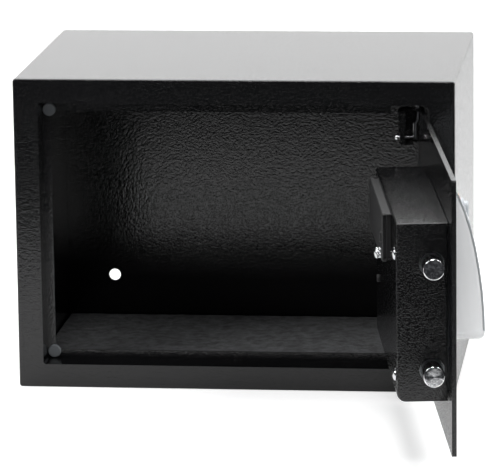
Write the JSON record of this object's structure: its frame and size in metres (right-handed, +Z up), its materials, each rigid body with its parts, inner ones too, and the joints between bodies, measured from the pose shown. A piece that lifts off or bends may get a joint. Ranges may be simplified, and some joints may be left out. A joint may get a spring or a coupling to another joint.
{
  "type": "portable car safe",
  "caption": "Small black steel digital safe with a swinging door, round bolts, lock cover, keypad fascia and turning knob.",
  "frame": {"origin": "centre of the cabinet's underside", "axes": "+Z up, +X to the hinge side, -Y out through the door opening"},
  "size_m": [0.3848, 0.5222, 0.25],
  "materials": {
    "black_coat": "textured black powder coat",
    "bright_steel": "bright nickel-plated steel",
    "zinc_steel": "zinc-plated sheet steel",
    "grey_rubber": "grey rubber",
    "felt": "dark grey needle felt",
    "black_plastic": "moulded black plastic",
    "silver_plastic": "satin silver plastic",
    "face_plastic": "satin grey plastic",
    "key_plastic": "light grey moulded keys",
    "board": "green circuit board",
    "coil": null,
    "brass": "brass",
    "cell_sleeve": "plain printed sleeve",
    "lamp": "clear red lamp bar"
  },
  "bodies": {
    "cabinet": {"body_shell": "black_coat", "door_frame": "black_coat", "back_panel": "black_coat", "floor_mat": "felt", "bumper_pad_upper": "grey_rubber", "bumper_pad_lower": "grey_rubber", "pivot_bush_upper": "black_plastic", "pivot_bush_lower": "black_plastic"},
    "door": {"door_plate": "black_coat", "hinge_bracket_upper": "black_coat", "hinge_bracket_lower": "black_coat", "hinge_pin_upper": "bright_steel", "hinge_pin_lower": "bright_steel", "hinge_pin_screw_upper": "bright_steel", "hinge_pin_screw_lower": "bright_steel", "lock_cover": "black_coat", "cover_screw_1": "bright_steel", "cover_screw_2": "bright_steel", "battery_tray": "black_plastic", "battery_1": "cell_sleeve", "battery_2": "cell_sleeve", "battery_3": "cell_sleeve", "battery_4": "cell_sleeve", "lock_chassis": "zinc_steel", "solenoid_frame": "zinc_steel", "solenoid_coil": "coil", "plunger_spring": "bright_steel", "circuit_board": "board", "fascia_housing": "silver_plastic", "face_panel": "face_plastic", "lamp_lens": "lamp", "keypad_board": "board", "key_lock_body": "brass", "key_lock_nut": "zinc_steel"},
    "battery_door": {"battery_cover": "black_plastic", "battery_cover_screw": "bright_steel"},
    "bolts": {"bolt_upper": "bright_steel", "bolt_lower": "bright_steel", "bolt_carriage": "zinc_steel"},
    "turning_knob": {"knob": "silver_plastic", "knob_spindle": "zinc_steel"},
    "plunger": {"solenoid_plunger": "bright_steel"},
    "lock_plug": {"key_lock_plug": "bright_steel", "key_lock_cam": "zinc_steel"},
    "lock_cover_flap": {"key_cover": "silver_plastic"},
    "reset": {"reset_button": "black_plastic"},
    "key_1_cap": {"key_1": "key_plastic"},
    "key_2_cap": {"key_2": "key_plastic"},
    "key_3_cap": {"key_3": "key_plastic"},
    "key_4_cap": {"key_4": "key_plastic"},
    "key_5_cap": {"key_5": "key_plastic"},
    "key_6_cap": {"key_6": "key_plastic"},
    "key_7_cap": {"key_7": "key_plastic"},
    "key_8_cap": {"key_8": "key_plastic"},
    "key_9_cap": {"key_9": "key_plastic"},
    "key_clear_cap": {"key_clear": "key_plastic"},
    "key_0_cap": {"key_0": "key_plastic"},
    "key_enter_cap": {"key_enter": "key_plastic"}
  },
  "joints": [
    {"name": "door_hinge", "type": "hinge", "parent": "cabinet", "child": "door", "pos_m": [0.1447, -0.1032, 0], "axis": [0, 0, 1], "range_deg": [-98.5, 6]},
    {"name": "knob_turn", "type": "hinge", "parent": "door", "child": "turning_knob", "pos_m": [0.15758, -0.1894, 0.15185], "axis": [-0.989, -0.1478, 0], "range_deg": [0, 90]},
    {"name": "bolt_slide", "type": "slide", "parent": "door", "child": "bolts", "axis": [0.1478, -0.989, 0], "range_m": [0, 0.013]},
    {"name": "plunger_slide", "type": "slide", "parent": "door", "child": "plunger", "axis": [0, 0, 1], "range_m": [0, 0.004]},
    {"name": "key_plug_turn", "type": "hinge", "parent": "door", "child": "lock_plug", "pos_m": [0.16439, -0.23497, 0.11671], "axis": [-0.989, -0.1478, 0], "range_deg": [0, 90]},
    {"name": "battery_cover_lift", "type": "slide", "parent": "door", "child": "battery_door", "axis": [-0.989, -0.1478, 0], "range_m": [0, 0.02]},
    {"name": "reset_press", "type": "slide", "parent": "door", "child": "reset", "axis": [0.989, 0.1478, 0], "range_m": [0, 0.001], "stiffness_N_per_m": 600, "springref_m": -0.0005},
    {"name": "key_cover_swing", "type": "hinge", "parent": "door", "child": "lock_cover_flap", "pos_m": [0.19212, -0.23082, 0.13764], "axis": [0.9847, 0.1472, 0.0931], "range_deg": [0, 65]},
    {"name": "key_1_press", "type": "slide", "parent": "door", "child": "key_1_cap", "axis": [-0.96, -0.1435, -0.2404], "range_m": [0, 0.001], "stiffness_N_per_m": 800, "springref_m": -0.0005},
    {"name": "key_2_press", "type": "slide", "parent": "door", "child": "key_2_cap", "axis": [-0.96, -0.1435, -0.2404], "range_m": [0, 0.001], "stiffness_N_per_m": 800, "springref_m": -0.0005},
    {"name": "key_3_press", "type": "slide", "parent": "door", "child": "key_3_cap", "axis": [-0.96, -0.1435, -0.2404], "range_m": [0, 0.001], "stiffness_N_per_m": 800, "springref_m": -0.0005},
    {"name": "key_4_press", "type": "slide", "parent": "door", "child": "key_4_cap", "axis": [-0.9713, -0.1452, -0.1886], "range_m": [0, 0.001], "stiffness_N_per_m": 800, "springref_m": -0.0005},
    {"name": "key_5_press", "type": "slide", "parent": "door", "child": "key_5_cap", "axis": [-0.9713, -0.1452, -0.1886], "range_m": [0, 0.001], "stiffness_N_per_m": 800, "springref_m": -0.0005},
    {"name": "key_6_press", "type": "slide", "parent": "door", "child": "key_6_cap", "axis": [-0.9713, -0.1452, -0.1886], "range_m": [0, 0.001], "stiffness_N_per_m": 800, "springref_m": -0.0005},
    {"name": "key_7_press", "type": "slide", "parent": "door", "child": "key_7_cap", "axis": [-0.9786, -0.1463, -0.1446], "range_m": [0, 0.001], "stiffness_N_per_m": 800, "springref_m": -0.0005},
    {"name": "key_8_press", "type": "slide", "parent": "door", "child": "key_8_cap", "axis": [-0.9786, -0.1463, -0.1446], "range_m": [0, 0.001], "stiffness_N_per_m": 800, "springref_m": -0.0005},
    {"name": "key_9_press", "type": "slide", "parent": "door", "child": "key_9_cap", "axis": [-0.9786, -0.1463, -0.1446], "range_m": [0, 0.001], "stiffness_N_per_m": 800, "springref_m": -0.0005},
    {"name": "key_clear_press", "type": "slide", "parent": "door", "child": "key_clear_cap", "axis": [-0.9837, -0.147, -0.1037], "range_m": [0, 0.001], "stiffness_N_per_m": 800, "springref_m": -0.0005},
    {"name": "key_0_press", "type": "slide", "parent": "door", "child": "key_0_cap", "axis": [-0.9837, -0.147, -0.1037], "range_m": [0, 0.001], "stiffness_N_per_m": 800, "springref_m": -0.0005},
    {"name": "key_enter_press", "type": "slide", "parent": "door", "child": "key_enter_cap", "axis": [-0.9837, -0.147, -0.1037], "range_m": [0, 0.001], "stiffness_N_per_m": 800, "springref_m": -0.0005}
  ],
  "couplings": [
    {"joint": "knob_turn", "follows": "bolt_slide", "rad_per_m": 120.83},
    {"joint": "plunger_slide", "follows": "bolt_slide", "ratio": 0.30769}
  ]
}
